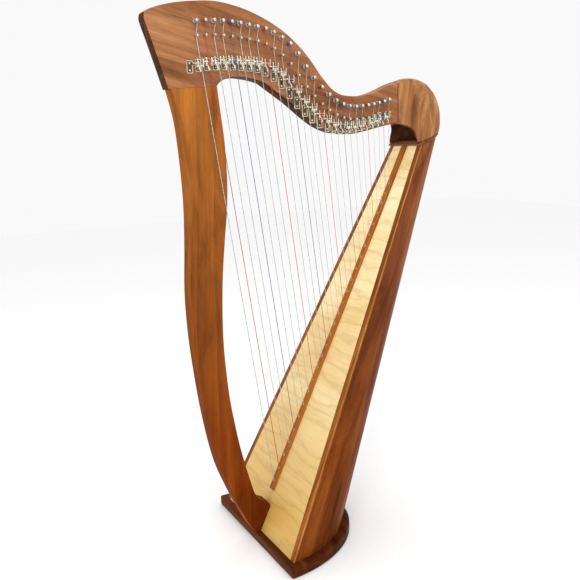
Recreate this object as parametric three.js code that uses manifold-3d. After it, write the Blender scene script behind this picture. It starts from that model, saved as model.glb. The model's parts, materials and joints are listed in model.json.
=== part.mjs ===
// A free-standing lever harp: neck, pillar and round-backed sound box on a base plate, 27 strings,
// and one semitone lever on each string. Millimetres, +Z up. +X runs from the pillar to the sound
// box, the strings are on the -Y side of the neck, and the origin is on the base's underside, on its
// centre line and baseFront behind its straight front edge.
import * as THREE from 'three';
import { mergeVertices } from 'three/addons/utils/BufferGeometryUtils.js';
import Module from 'manifold-3d';

const wasm = await Module();
wasm.setup();

// ---- driving dimensions ----
const gap = 0.3;
const baseFront = 116;
const baseDepth = 222;
const baseHalfWidth = 174;
const baseThickness = 22.6;
const woodThickness = 32;
const edgeRound = 5;

const boardSlope = 63.4;
const boardFootX = -104;
const boardThickness = 4;
const boxHalfWidth = { foot: 157.4, taper: 0.1155 };
const boxDepth = { foot: 183, taper: 0.131 };
const shellWall = 5;
const trimWidth = 14;
const linerWidth = 11;
const linerDepth = 14;
const hoop = { starts: [298, 458, 612], width: 12, thickness: 9 };
const bottomBlockHeight = 14;
const topBlockDepth = 42;
const heel = { from: 18, to: 76, halfWidth: 34, depth: 34 };
const ribWidth = 17;
const ribHeight = 4;
const ribStart = 88;
const knotStrip = { start: 80, end: 838, halfWidth: 12, front: 1, back: 8 };

const collarX = 296;
const collarZ = 823;
const collarTilt = 16;
const collarThickness = 8;

const stringCount = 27;
const stringLean = 8.5;
const firstPinX = -194;
const bassGaps = 16;
const bassGap = 17.3;
const trebleGap = 12.9;
const pinReach = 28;
const pinRadius = 1.8;
const tuningPinRadius = 2.6;
const tuningPinRise = 25.5;
const semitone = 1 - Math.pow(2, -1 / 12);
const stringRadius = { bass: 0.75, treble: 0.35 };
const stringNotch = 0.3;

const leverPivotY = -21;
const leverReach = 15;
const leverRest = 230;

// ---- finishes ----
const wood = (color) => new THREE.MeshStandardMaterial({ color, roughness: 0.42, metalness: 0 });
const metal = (color) => new THREE.MeshStandardMaterial({ color, roughness: 0.25, metalness: 1 });
const finish = {
  neck: () => wood(0x9a5a30),
  pillar: () => wood(0x93501f),
  base: () => wood(0x5a2c12),
  box: () => wood(0x8a4c20),
  trim: () => wood(0xa8642a),
  board: () => wood(0xe8cf94),
  inner: () => wood(0xc9a878),
  steel: () => metal(0xb8b8bc),
  lever: () => metal(0xd9c07a),
  string: () => new THREE.MeshStandardMaterial({ color: 0xe8e8e6, roughness: 0.3, metalness: 0 }),
};

// ---- solids ----
function solid(geometry) {
  const shell = geometry.clone();
  shell.deleteAttribute('normal');
  shell.deleteAttribute('uv');
  const merged = mergeVertices(shell, 1e-3);
  return new wasm.Manifold(new wasm.Mesh({
    numProp: 3,
    vertProperties: new Float32Array(merged.attributes.position.array),
    triVerts: new Uint32Array(merged.index.array),
  }));
}

function geometryOf(manifold) {
  const mesh = manifold.getMesh();
  const geometry = new THREE.BufferGeometry();
  geometry.setAttribute('position', new THREE.BufferAttribute(new Float32Array(mesh.vertProperties), 3));
  geometry.setIndex(new THREE.BufferAttribute(new Uint32Array(mesh.triVerts), 1));
  geometry.computeVertexNormals();
  return geometry;
}

const harp = new THREE.Group();

function place(name, manifold, material) {
  const mesh = new THREE.Mesh(geometryOf(manifold), material);
  mesh.name = name;
  harp.add(mesh);
  return mesh;
}

const point = (x, y, z) => new THREE.Vector3(x, y, z);
const radians = THREE.MathUtils.degToRad;

function box(low, high) {
  const size = high.clone().sub(low);
  const middle = low.clone().add(high).multiplyScalar(0.5);
  return new THREE.BoxGeometry(size.x, size.y, size.z).translate(middle.x, middle.y, middle.z);
}

function rod(from, to, radius, sides = 8) {
  const along = to.clone().sub(from);
  const turn = new THREE.Quaternion().setFromUnitVectors(point(0, 1, 0), along.clone().normalize());
  const middle = from.clone().add(to).multiplyScalar(0.5);
  const geometry = new THREE.CylinderGeometry(radius, radius, along.length(), sides);
  return geometry.applyQuaternion(turn).translate(middle.x, middle.y, middle.z);
}

// A side outline (x, z) made into a plate centred on y = 0, its long edges rounded.
function plate(outline, thickness, round) {
  const geometry = new THREE.ExtrudeGeometry(new THREE.Shape(outline), {
    depth: thickness - 2 * round,
    bevelThickness: round,
    bevelSize: round,
    bevelOffset: -round,
    bevelSegments: 1,
    steps: 1,
  });
  return geometry.translate(0, 0, round - thickness / 2).rotateX(Math.PI / 2);
}

const curve = (points, count) => new THREE.SplineCurve(
  points.map(([x, z]) => new THREE.Vector2(x, z)),
).getPoints(count);

// A closed skin through rings of points, with flat ends.
function loft(rings) {
  const count = rings[0].length;
  const positions = [];
  const faces = [];
  for (const ring of rings) {
    for (const corner of ring) positions.push(corner.x, corner.y, corner.z);
  }
  for (let level = 0; level + 1 < rings.length; level += 1) {
    for (let side = 0; side < count; side += 1) {
      const next = (side + 1) % count;
      const [a, b] = [level * count + side, level * count + next];
      faces.push(a, b + count, b, a, a + count, b + count);
    }
  }
  const last = (rings.length - 1) * count;
  for (let side = 1; side + 1 < count; side += 1) {
    faces.push(0, side, side + 1, last, last + side + 1, last + side);
  }
  const geometry = new THREE.BufferGeometry();
  geometry.setAttribute('position', new THREE.Float32BufferAttribute(positions, 3));
  geometry.setIndex(faces);
  return geometry;
}

// ---- sound box frame: s runs up the board, y across it, depth goes back into the box ----
const boardFrame = new THREE.Matrix4()
  .makeRotationY(-radians(boardSlope))
  .setPosition(boardFootX, 0, baseThickness);
const onBoard = (s, y, depth) => point(s, y, -depth).applyMatrix4(boardFrame);
const halfWidthAt = (s) => boxHalfWidth.foot - boxHalfWidth.taper * s;
const depthAt = (s) => boxDepth.foot - boxDepth.taper * s;

// Every long part of the box is drawn past both ends, then cut to the base and the collar.
const pastFoot = -110;
const pastTop = 1010;

// The tapering half-ellipse body, drawn in by `inset` all round and standing `proud` of the board.
function boxBody(inset, proud = 0) {
  const arcs = 24;
  const ringAt = (s) => {
    const [wide, deep] = [halfWidthAt(s) - inset, depthAt(s) - inset];
    const back = Array.from({ length: arcs + 1 }, (_, index) => {
      const angle = Math.PI * index / arcs;
      return onBoard(s, wide * Math.cos(angle), deep * Math.sin(angle));
    });
    return proud > 0 ? [...back, onBoard(s, -wide, -proud), onBoard(s, wide, -proud)] : back;
  };
  return solid(loft([ringAt(pastFoot), ringAt(pastTop)]));
}

const reach = 700;
const tall = 1300;
const aboveBase = (height) => solid(box(point(-reach, -reach, height), point(reach, reach, tall)));

// The space between two levels of the tilted plane on top of the sound box.
function collarSlab(low, high) {
  const slab = box(point(-reach, -reach, low), point(reach, reach, high));
  return solid(slab.rotateY(-radians(collarTilt)).translate(collarX, 0, collarZ));
}
const belowCollar = (drop) => collarSlab(-tall, -drop);
const boxStretch = (body) => body.intersect(aboveBase(baseThickness + gap)).intersect(belowCollar(0));
const boardBox = (low, high) => solid(box(low, high).applyMatrix4(boardFrame));

// A flat strip along the board between two lines that follow the taper.
function taperedStrip(leftAt, rightAt, frontDepth, backDepth) {
  const ringAt = (s) => [
    onBoard(s, rightAt(s), frontDepth),
    onBoard(s, leftAt(s), frontDepth),
    onBoard(s, leftAt(s), backDepth),
    onBoard(s, rightAt(s), backDepth),
  ];
  return solid(loft([ringAt(pastFoot), ringAt(pastTop)]));
}

// The same along one side of the box (1 is +Y, -1 is -Y), `width` wide inwards from an outer line.
const sideStrip = (side, outerAt, width, frontDepth, backDepth) => (side > 0
  ? taperedStrip(outerAt, (s) => outerAt(s) - width, frontDepth, backDepth)
  : taperedStrip((s) => width - outerAt(s), (s) => -outerAt(s), frontDepth, backDepth));

// ---- strings ----
function pinX(index) {
  const trebleSteps = Math.max(0, index - bassGaps);
  const bassSteps = Math.min(index, bassGaps);
  const shrink = (bassGap - trebleGap) / (stringCount - 1 - bassGaps);
  return firstPinX + bassGap * (bassSteps + trebleSteps) - shrink * trebleSteps * (trebleSteps + 1) / 2;
}

// The bridge pins' line along the neck, from the longest string to the shortest.
const pinLine = curve([
  [-196, 1031.5], [-145, 1034], [-76, 1027], [-41, 1016], [-5, 989], [30, 946], [65, 913],
  [100, 891], [131, 882.5], [161, 882.5], [204, 888], [236, 895.5],
], 400);

function pinHeight(x) {
  const next = pinLine.findIndex((corner) => corner.x > x);
  const [a, b] = [pinLine[next - 1], pinLine[next]];
  const slope = (b.y - a.y) / (b.x - a.x);
  return { height: a.y + slope * (x - a.x), slope };
}

const leanX = Math.sin(radians(stringLean));
const leanZ = -Math.cos(radians(stringLean));
const boardNormal = { x: Math.sin(radians(boardSlope)), z: -Math.cos(radians(boardSlope)) };

// How far down the string's line, seen from the side, a plane parallel to the board lies.
function runTo(x, z, depth) {
  const away = (x - boardFootX) * boardNormal.x + (z - baseThickness) * boardNormal.z;
  return (depth - away) / (leanX * boardNormal.x + leanZ * boardNormal.z);
}

const strings = Array.from({ length: stringCount }, (_, index) => {
  const x = pinX(index);
  const { height, slope } = pinHeight(x);
  const fraction = index / (stringCount - 1);
  const radius = stringRadius.bass + (stringRadius.treble - stringRadius.bass) * fraction;
  const contactX = x - pinRadius - radius * stringNotch;
  const run = runTo(contactX, height, -ribHeight);
  const at = (part) => point(
    contactX + leanX * run * part,
    -pinReach * (1 - part),
    height + leanZ * run * part,
  );
  const anchorPart = runTo(contactX, height, boardThickness + knotStrip.back / 2) / run;
  return {
    radius,
    at,
    anchorPart,
    bridgePin: point(x, 0, height),
    tuningPin: point(x, 0, height + tuningPinRise * Math.hypot(1, slope)),
    lever: at(semitone).setY(leverPivotY),
  };
});

// ---- neck ----
const shoulderJoint = 264;
const neckTop = curve([
  [-248, 935], [-258, 968], [-274, 1020], [-284, 1051], [-286, 1063], [-279, 1073], [-242, 1085],
  [-198, 1092], [-150, 1094.5], [-98, 1086], [-52, 1070], [-9, 1047.5], [28, 1018.5], [52, 993],
  [74, 966], [97, 943], [119, 931.5], [144, 928.5], [170, 929], [195, 934], [221, 942.5],
  [247, 953], [285, 964],
], 64);
const neckUnder = curve([
  [285, 878], [256, 872], [217, 865], [190, 859.5], [165, 855], [140, 852], [115, 854], [91, 858.5],
  [67, 868], [44, 882], [21, 899], [-17, 928], [-38, 943], [-60, 953.5], [-86, 959.5],
  [-115, 962], [-137, 958.5], [-148, 953], [-155, 945], [-158, 935],
], 48);

const jointTilt = 3.6;
function belowPillarJoint(drop, right) {
  const slab = box(point(-100, -60, -1200), point(right, 60, -drop));
  return solid(slab.rotateY(-radians(jointTilt)).translate(-203, 0, 943));
}

let neck = solid(plate([...neckTop, ...neckUnder], woodThickness, edgeRound));
neck = neck.subtract(belowPillarJoint(0, 52));
neck = neck.intersect(solid(box(point(-reach, -60, 600), point(shoulderJoint, 60, 1300))));

// ---- pillar ----
const pillarFront = curve([
  [-250, 975], [-246, 943], [-237, 905], [-231, 868], [-226, 800], [-224, 729], [-227, 650],
  [-232.5, 560], [-231, 480], [-225, 405], [-213, 305], [-194, 205], [-168, 130], [-134, 52],
  [-113, 16],
], 40);
const pillarBack = curve([
  [-92, 10], [-82, 45], [-79, 66], [-80, 77], [-86, 85], [-96, 90], [-106, 98], [-114.5, 113],
  [-123, 143], [-136, 195], [-146, 242], [-154, 290], [-160, 332], [-164, 376], [-167.5, 440],
  [-167, 510], [-162, 590], [-154, 659], [-146, 720], [-143, 775], [-144.5, 842], [-150, 900],
  [-154, 940], [-156, 975],
], 60);
const inFrontOfBoard = boardBox(point(-200, -60, gap), point(1200, 60, 900));
let pillar = solid(plate([...pillarFront, ...pillarBack], woodThickness, edgeRound));
pillar = pillar.intersect(belowPillarJoint(gap, 300)).intersect(aboveBase(baseThickness + gap));
pillar = pillar.intersect(inFrontOfBoard);

// ---- shoulder block and collar ----
// One level of the shoulder: flat in front, flaring to its widest, then a round back.
function shoulderRing(z, front, widest, back, frontWidth, fullWidth) {
  const side = [];
  for (let step = 0; step <= 3; step += 1) {
    const along = step / 3;
    const flare = Math.sin(along * Math.PI / 2);
    side.push([front + (widest - front) * along, frontWidth + (fullWidth - frontWidth) * flare]);
  }
  for (let step = 1; step <= 5; step += 1) {
    const angle = step / 5 * Math.PI / 2;
    side.push([widest + (back - widest) * Math.sin(angle), fullWidth * Math.cos(angle)]);
  }
  const far = side.map(([x, y]) => point(x, y, z));
  const near = side.slice(0, -1).reverse().map(([x, y]) => point(x, -y, z));
  return [...far, ...near];
}

let shoulder = solid(loft([
  shoulderRing(800, 292, 300, 368, 53, 54.5),
  shoulderRing(835, 291, 304, 374, 50, 54.5),
  shoulderRing(860, 280, 314, 381, 30, 52),
  shoulderRing(880, 265, 320, 383.5, 16, 48),
  shoulderRing(905, 265, 324, 381.5, 16, 42),
  shoulderRing(930, 265, 324, 371, 16, 35),
  shoulderRing(950, 265, 318, 353, 16, 27),
  shoulderRing(957, 264, 312, 343, 13, 22),
  shoulderRing(962, 276, 306, 332, 11, 16),
  shoulderRing(966, 290, 303, 318, 6, 8),
]));
const niche = new THREE.SphereGeometry(1, 20, 12).scale(38, 47, 47).translate(286, 0, 826);
const pastJoint = solid(box(point(shoulderJoint + gap, -reach, 0), point(reach, reach, tall)));
shoulder = shoulder.intersect(collarSlab(collarThickness + 2 * gap, reach));
shoulder = shoulder.intersect(pastJoint).subtract(solid(niche));

const beadOverhang = 3;
let collar = boxBody(-beadOverhang, beadOverhang).intersect(collarSlab(gap, collarThickness + gap));

// ---- sound box ----
const backOfBoard = boardThickness + gap;
const behind = (depth) => boardBox(point(-reach, -reach, -reach), point(tall, reach, -depth));
const innerSpace = boxBody(shellWall + gap);
let shell = boxStretch(boxBody(0)).intersect(behind(backOfBoard)).subtract(boxBody(shellWall));
const soundHoles = [
  { s: 215, long: 46, wide: 27 },
  { s: 385, long: 42, wide: 24 },
  { s: 545, long: 38, wide: 21 },
  { s: 690, long: 33, wide: 18 },
];
for (const hole of soundHoles) {
  const cutter = new THREE.CylinderGeometry(1, 1, 90, 20).rotateX(Math.PI / 2)
    .scale(hole.long, hole.wide, 1).translate(hole.s, 0, -depthAt(hole.s))
    .applyMatrix4(boardFrame);
  shell = shell.subtract(solid(cutter));
}

const boardEdge = (s) => halfWidthAt(s) - trimWidth - gap;
let board = boxStretch(taperedStrip((s) => boardEdge(s), (s) => -boardEdge(s), 0, boardThickness));
const trim = (side) => boxStretch(sideStrip(side, halfWidthAt, trimWidth, 0, boardThickness));
const halfRib = ribWidth / 2;
let rib = boardBox(point(ribStart, -halfRib, gap), point(pastTop, halfRib, ribHeight))
  .intersect(belowCollar(gap));

// ---- inside the box ----
const linerEdge = (s) => halfWidthAt(s) - shellWall - gap;
const linerEnd = { clearOfFoot: 48, clearOfTopBlock: topBlockDepth + 4 };
const liner = (side) => sideStrip(side, linerEdge, linerWidth, backOfBoard + gap, backOfBoard + linerDepth)
  .intersect(innerSpace)
  .intersect(aboveBase(linerEnd.clearOfFoot))
  .intersect(belowCollar(linerEnd.clearOfTopBlock));
const bottomTop = baseThickness + bottomBlockHeight;
const insideBoard = behind(backOfBoard + gap);
let bottomBlock = innerSpace.intersect(insideBoard)
  .intersect(solid(box(point(-reach, -reach, baseThickness + gap), point(reach, reach, bottomTop))));
let topBlock = innerSpace.intersect(insideBoard).intersect(collarSlab(-topBlockDepth, -gap));
let heelBlock = boardBox(
  point(heel.from, -heel.halfWidth, -heel.depth),
  point(heel.to, heel.halfWidth, -backOfBoard - gap),
).intersect(aboveBase(bottomTop + gap));

// Half hoops that stiffen the round back between the sound holes.
const backHoop = (s) => {
  const front = -backOfBoard - linerDepth - gap;
  const slice = boardBox(point(s, -reach, -reach), point(s + hoop.width, reach, front));
  return innerSpace.subtract(boxBody(shellWall + hoop.thickness)).intersect(slice);
};

// ---- strings, with the pins that they run over and the strip that holds their knots ----
const holeSides = 6;
const drill = (target, from, to, radius) => target.subtract(solid(rod(from, to, radius, holeSides)));

const pinEnd = { bridgeHidden: 6, tuningHidden: 36, bridgeProud: 3, tuningProud: 6 };
const stringHole = 1.9;
const pinClearance = 0.5;
let stringSet = boardBox(
  point(knotStrip.start, -knotStrip.halfWidth, -boardThickness - knotStrip.back),
  point(knotStrip.end, knotStrip.halfWidth, -boardThickness - knotStrip.front),
);
for (const string of strings) {
  const { radius, at, anchorPart, bridgePin, tuningPin } = string;
  const across = (pin, y) => pin.clone().setY(y);
  const parts = [
    rod(across(tuningPin, -pinReach + pinEnd.bridgeProud).setX(at(0).x), at(0), radius),
    rod(at(0), at(anchorPart), radius),
    rod(across(bridgePin, -pinEnd.bridgeHidden), across(bridgePin, -pinReach - pinEnd.bridgeProud),
      pinRadius, holeSides),
    rod(across(tuningPin, -pinReach - pinEnd.tuningProud), across(tuningPin, pinEnd.tuningHidden),
      tuningPinRadius, holeSides),
  ];
  for (const part of parts) stringSet = stringSet.add(solid(part));
  const past = woodThickness / 2 + 4;
  neck = drill(neck, across(bridgePin, 1 - pinEnd.bridgeHidden), across(bridgePin, -past),
    pinRadius + pinClearance);
  neck = drill(neck, across(tuningPin, -past), across(tuningPin, past), tuningPinRadius + pinClearance);
  rib = drill(rib, at(0.9), at(1.1), stringHole);
  board = drill(board, at(0.9), at(1.1), stringHole);
}

// ---- fasteners ----
const boltRadius = 4;
const dowelRadius = 4.5;
const fastenerClearance = 0.5;
const fastenerSides = 10;

// The bolt that draws the pillar's foot up to the heel block: its hexagon head is inside the box.
const pillarBoltUp = 50;
const boltDepth = { head: heel.depth + 6, washer: heel.depth + gap, end: -34 };
const boltAt = (depth) => onBoard(pillarBoltUp, 0, depth);
const pillarBolt = solid(rod(boltAt(boltDepth.head), boltAt(boltDepth.end), boltRadius, fastenerSides))
  .add(solid(rod(boltAt(boltDepth.head), boltAt(boltDepth.washer), 2 * boltRadius, 6)));
const boltHole = solid(rod(boltAt(boltDepth.head + 20), boltAt(boltDepth.end - fastenerClearance),
  boltRadius + fastenerClearance, fastenerSides));
heelBlock = heelBlock.subtract(boltHole);
board = board.subtract(boltHole);
pillar = pillar.subtract(boltHole);

// A dowel or a headless bolt, and the hole that it sits in, a little longer and wider.
function fastener(from, to, radius) {
  const over = to.clone().sub(from).setLength(fastenerClearance);
  const hole = rod(from.clone().sub(over), to.clone().add(over), radius + fastenerClearance, fastenerSides);
  return { shank: solid(rod(from, to, radius, fastenerSides)), hole: solid(hole) };
}

const neckPillarDowels = [-228, -180].map((x) => fastener(point(x, 0, 918), point(x, 0, 968), dowelRadius));
for (const { hole } of neckPillarDowels) {
  pillar = pillar.subtract(hole);
  neck = neck.subtract(hole);
}
const neckShoulderDowels = [900, 936].map((z) => fastener(point(244, 0, z), point(286, 0, z), dowelRadius));
for (const { hole } of neckShoulderDowels) {
  neck = neck.subtract(hole);
  shoulder = shoulder.subtract(hole);
}

// The bolt that draws the shoulder block down on the top block, through the collar.
const shoulderBolt = fastener(point(341, 0, 797), point(328, 0, 874), boltRadius);
topBlock = topBlock.subtract(shoulderBolt.hole);
collar = collar.subtract(shoulderBolt.hole);
shoulder = shoulder.subtract(shoulderBolt.hole);

// ---- base plate and its screws ----
const baseOutline = new THREE.Shape();
baseOutline.moveTo(0, -baseHalfWidth);
baseOutline.absellipse(0, 0, baseDepth, baseHalfWidth, -Math.PI / 2, Math.PI / 2, false, 0);
baseOutline.closePath();
let base = solid(new THREE.ExtrudeGeometry(baseOutline, {
  depth: baseThickness - 2 * edgeRound,
  bevelThickness: edgeRound,
  bevelSize: edgeRound,
  bevelOffset: -edgeRound,
  bevelSegments: 1,
  curveSegments: 24,
  steps: 1,
}).translate(-baseFront, 0, edgeRound));

const screw = { radius: 2.4, head: 4.6, bottom: 3, headTop: 6.5, top: 33 };
const screws = [[-30, -96], [-30, 96], [52, -52], [52, 52]].map(([x, y]) => {
  const upright = (from, to, radius) => solid(rod(point(x, y, from), point(x, y, to), radius, fastenerSides));
  const over = fastenerClearance;
  const hole = upright(-1, screw.headTop + over, screw.head + over)
    .add(upright(0, screw.top + over, screw.radius + over));
  base = base.subtract(hole);
  bottomBlock = bottomBlock.subtract(hole);
  return upright(screw.bottom, screw.headTop, screw.head)
    .add(upright(screw.bottom, screw.top, screw.radius));
});

// ---- levers: a barrel between the string and the neck, a cam on it and a handle beside the string ----
const barrel = { left: -5.1, right: 3.6, radius: 2 };
const handle = { thickness: 2.2, hub: 3.1, tip: 2.4 };
const camReach = 4;
const leverFrame = new THREE.Matrix4().makeBasis(point(0, 1, 0), point(0, 0, 1), point(1, 0, 0));

function leverSolid() {
  const outline = new THREE.Shape();
  outline.absarc(0, 0, handle.hub, radians(50), radians(310), false);
  outline.absarc(leverReach - handle.tip, 0, handle.tip, -Math.PI / 2, Math.PI / 2, false);
  outline.closePath();
  const arm = new THREE.ExtrudeGeometry(outline, {
    depth: handle.thickness,
    bevelEnabled: false,
    curveSegments: 2,
    steps: 1,
  }).rotateZ(radians(leverRest)).applyMatrix4(leverFrame).translate(barrel.left, 0, 0);
  const cam = box(point(-1.5, -1, -camReach), point(1.5, 1, 0));
  return solid(arm)
    .add(solid(rod(point(barrel.left, 0, 0), point(barrel.right, 0, 0), barrel.radius)))
    .add(solid(cam));
}

const noteNames = ['b', 'c', 'd', 'e', 'f', 'g', 'a'];
const leverShape = leverSolid();
strings.forEach((string, index) => {
  const name = `lever_${String(index + 1).padStart(2, '0')}_${noteNames[index % noteNames.length]}`;
  place(name, leverShape.translate(string.lever.toArray()), finish.lever());
});

// ---- the harp ----
place('base_plate', base, finish.base());
place('pillar', pillar, finish.pillar());
place('neck', neck, finish.neck());
place('shoulder_block', shoulder, finish.neck());
place('collar_moulding', collar, finish.box());
place('soundbox_shell', shell, finish.box());
place('soundboard', board, finish.board());
place('string_rib', rib, finish.trim());
place('edge_trim_right', trim(-1), finish.trim());
place('edge_trim_left', trim(1), finish.trim());
place('liner_right', liner(-1), finish.inner());
place('liner_left', liner(1), finish.inner());
place('bottom_block', bottomBlock, finish.inner());
place('top_block', topBlock, finish.inner());
place('heel_block', heelBlock, finish.inner());
hoop.starts.forEach((s, index) => place(`back_hoop_${index + 1}`, backHoop(s), finish.inner()));
place('string_set', stringSet, finish.string());
place('pillar_bolt', pillarBolt, finish.steel());
place('shoulder_bolt', shoulderBolt.shank, finish.steel());
screws.forEach((part, index) => place(`base_screw_${index + 1}`, part, finish.steel()));
neckPillarDowels.forEach(({ shank }, index) => place(`neck_pillar_dowel_${index + 1}`, shank, finish.inner()));
neckShoulderDowels.forEach(({ shank }, index) => {
  place(`neck_shoulder_dowel_${index + 1}`, shank, finish.inner());
});

export default harp;
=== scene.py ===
"""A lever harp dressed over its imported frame: planed and rounded hardwood, a pale sound board,
27 strings with their pins, and a semitone lever on each string."""
import json
import math

import bmesh
import bpy
from mathutils import Matrix, Vector


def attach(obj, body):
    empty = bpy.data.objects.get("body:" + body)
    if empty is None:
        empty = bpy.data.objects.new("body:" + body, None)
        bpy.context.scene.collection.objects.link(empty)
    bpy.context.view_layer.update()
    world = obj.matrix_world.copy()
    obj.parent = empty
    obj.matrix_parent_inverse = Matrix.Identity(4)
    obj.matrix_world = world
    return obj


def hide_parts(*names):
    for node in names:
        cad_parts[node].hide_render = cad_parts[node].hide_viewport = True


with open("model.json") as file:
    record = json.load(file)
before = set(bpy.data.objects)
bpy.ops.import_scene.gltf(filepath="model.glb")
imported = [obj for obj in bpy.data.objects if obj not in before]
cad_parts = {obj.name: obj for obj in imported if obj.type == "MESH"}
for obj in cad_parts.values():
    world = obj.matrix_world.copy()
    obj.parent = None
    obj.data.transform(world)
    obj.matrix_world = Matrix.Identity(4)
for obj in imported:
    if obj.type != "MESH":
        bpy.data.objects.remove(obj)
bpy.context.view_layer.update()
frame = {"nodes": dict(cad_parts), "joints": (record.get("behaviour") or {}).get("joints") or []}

MM = 0.001
HARP = "harp_frame"
STRING_COUNT = 27

# ---- the harp's own dimensions, in millimetres ----
HALF_NECK = 16
EDGE_ROUND = 5
GAP = 0.3
BASE = {"front": -116, "depth": 222, "half_width": 174, "thickness": 22.6}
BOARD_SLOPE = 63.4
BOARD_FOOT_X = -104
BOARD_THICKNESS = 4
BOX_WIDTH = {"foot": 157.4, "taper": 0.1155}
BOX_DEPTH = {"foot": 183, "taper": 0.131}
SHELL_WALL = 5
TRIM_WIDTH = 14
RIB = {"width": 17, "height": 4, "start": 88}
KNOT_STRIP = {"start": 80, "end": 838, "half_width": 12, "front": 1, "back": 8}
KNOT = {"radius": 2.8, "below": 5.5}
COLLAR = {"x": 296, "z": 823, "tilt": 16, "thickness": 8}
SHOULDER_JOINT = 264
GLUE_LINE = {"bottom": 874, "top": 958.5, "proud": 0.15, "width": 1.8}
PILLAR_JOINT = {"x": -203, "z": 943, "tilt": 3.6}
STRING_LEAN = 8.5
PIN_REACH = 28
PIN_RADIUS = 1.8
STRING_NOTCH = 0.3
STRING_RADIUS = {"bass": 0.75, "treble": 0.35}
TUNING_PIN_RADIUS = 2.6
TUNING_PIN_RISE = 25.5
SEMITONE = 1 - 2 ** (-1 / 12)
SOUND_HOLES = [(215, 46, 27), (385, 42, 24), (545, 38, 21), (690, 33, 18)]

NECK_TOP = [
    (-248, 935), (-258, 968), (-274, 1020), (-284, 1051), (-286, 1063), (-279, 1073), (-242, 1085),
    (-198, 1092), (-150, 1094.5), (-98, 1086), (-52, 1070), (-9, 1047.5), (28, 1018.5), (52, 993),
    (74, 966), (97, 943), (119, 931.5), (144, 928.5), (170, 929), (195, 934), (221, 942.5),
    (247, 953), (285, 964),
]
NECK_UNDER = [
    (285, 878), (256, 872), (217, 865), (190, 859.5), (165, 855), (140, 852), (115, 854),
    (91, 858.5), (67, 868), (44, 882), (21, 899), (-17, 928), (-38, 943), (-60, 953.5),
    (-86, 959.5), (-115, 962), (-137, 958.5), (-148, 953), (-155, 945), (-158, 935),
]
PILLAR_FRONT = [
    (-250, 975), (-246, 943), (-237, 905), (-231, 868), (-226, 800), (-224, 729), (-227, 650),
    (-232.5, 560), (-231, 480), (-225, 405), (-213, 305), (-194, 205), (-168, 130), (-134, 52),
    (-113, 16),
]
PILLAR_BACK = [
    (-92, 10), (-82, 45), (-79, 66), (-80, 77), (-86, 85), (-96, 90), (-106, 98), (-114.5, 113),
    (-123, 143), (-136, 195), (-146, 242), (-154, 290), (-160, 332), (-164, 376), (-167.5, 440),
    (-167, 510), (-162, 590), (-154, 659), (-146, 720), (-143, 775), (-144.5, 842), (-150, 900),
    (-154, 940), (-156, 975),
]
# height, front, widest, back, width at the front, full width
SHOULDER_LEVELS = [
    (800, 292, 300, 368, 53, 54.5), (835, 291, 304, 374, 50, 54.5), (860, 280, 314, 381, 30, 52),
    (880, 265, 320, 383.5, 16, 48), (905, 265, 324, 381.5, 16, 42), (930, 265, 324, 371, 16, 35),
    (950, 265, 318, 353, 16, 27), (957, 264, 312, 343, 13, 22), (962, 276, 306, 332, 11, 16),
    (966, 290, 303, 318, 6, 8),
]


def spot(x, y, z):
    return Vector((x, y, z)) * MM


def in_radians(*angles):
    return tuple(math.radians(angle) for angle in angles)


BOARD = Matrix.Translation(spot(BOARD_FOOT_X, 0, BASE["thickness"])) @ Matrix.Rotation(
    -math.radians(BOARD_SLOPE), 4, "Y")
BOARD_OUT = BOARD.to_3x3() @ Vector((0, 0, 1))


def on_board(up, across, depth):
    """A point of the sound box: so far up the board, across it and down into the box."""
    return BOARD @ spot(up, across, -depth)


def half_width_at(up):
    return BOX_WIDTH["foot"] - BOX_WIDTH["taper"] * up


def box_depth_at(up):
    return BOX_DEPTH["foot"] - BOX_DEPTH["taper"] * up


COLLAR_UP = Matrix.Rotation(-math.radians(COLLAR["tilt"]), 3, "Y") @ Vector((0, 0, 1))


def collar_level(height):
    """A point of the tilted plane that lies so far above the top of the sound box."""
    return spot(COLLAR["x"], 0, COLLAR["z"]) + COLLAR_UP * height * MM


NICHE = {"centre": (286, 0, 826), "radii": (38, 47, 47)}


def linked(name, data):
    """An object in the scene for some mesh, curve, light or camera."""
    thing = bpy.data.objects.new(name, data)
    bpy.context.scene.collection.objects.link(thing)
    return thing


# ================================ camera ================================
def aim_camera():
    turn, pitch, roll = in_radians(-29.19, 11.92, -1.76)
    back = Vector((
        math.sin(turn) * math.cos(pitch), -math.cos(turn) * math.cos(pitch), math.sin(pitch)))
    right = Vector((math.cos(turn), math.sin(turn), 0))
    up = back.cross(right)
    right, up = (
        right * math.cos(roll) + up * math.sin(roll), up * math.cos(roll) - right * math.sin(roll))
    data = bpy.data.cameras.new("camera")
    data.sensor_width = 36
    data.lens = 43.69
    data.shift_x = -0.0038
    data.shift_y = -0.0061
    camera = linked("camera", data)
    camera.matrix_world = Matrix.Translation(spot(-702.4, -1257.3, 848)) @ Matrix(
        (right, up, back)).transposed().to_4x4()
    bpy.context.scene.camera = camera


aim_camera()


# ================================ finishes ================================
def tint(red, green, blue):
    """A screen colour, 0 to 255, as the linear colour that the shader takes."""
    channels = (red, green, blue)
    return tuple(((c / 255 + 0.055) / 1.055) ** 2.4 if c > 10 else c / 3295 for c in channels) + (1,)


def add(tree, kind, inputs=None, **settings):
    """A node with its settings made and its inputs set or wired."""
    node = tree.nodes.new("ShaderNode" + kind)
    for name, value in settings.items():
        setattr(node, name, value)
    for name, value in (inputs or {}).items():
        if isinstance(value, bpy.types.NodeSocket):
            tree.links.new(value, node.inputs[name])
        else:
            node.inputs[name].default_value = value
    return node


def new_finish(name, metallic=0.0):
    material = bpy.data.materials.new(name)
    material.use_nodes = True
    tree = material.node_tree
    shader = tree.nodes["Principled BSDF"]
    shader.inputs["Metallic"].default_value = metallic
    return material, tree, shader


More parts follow.
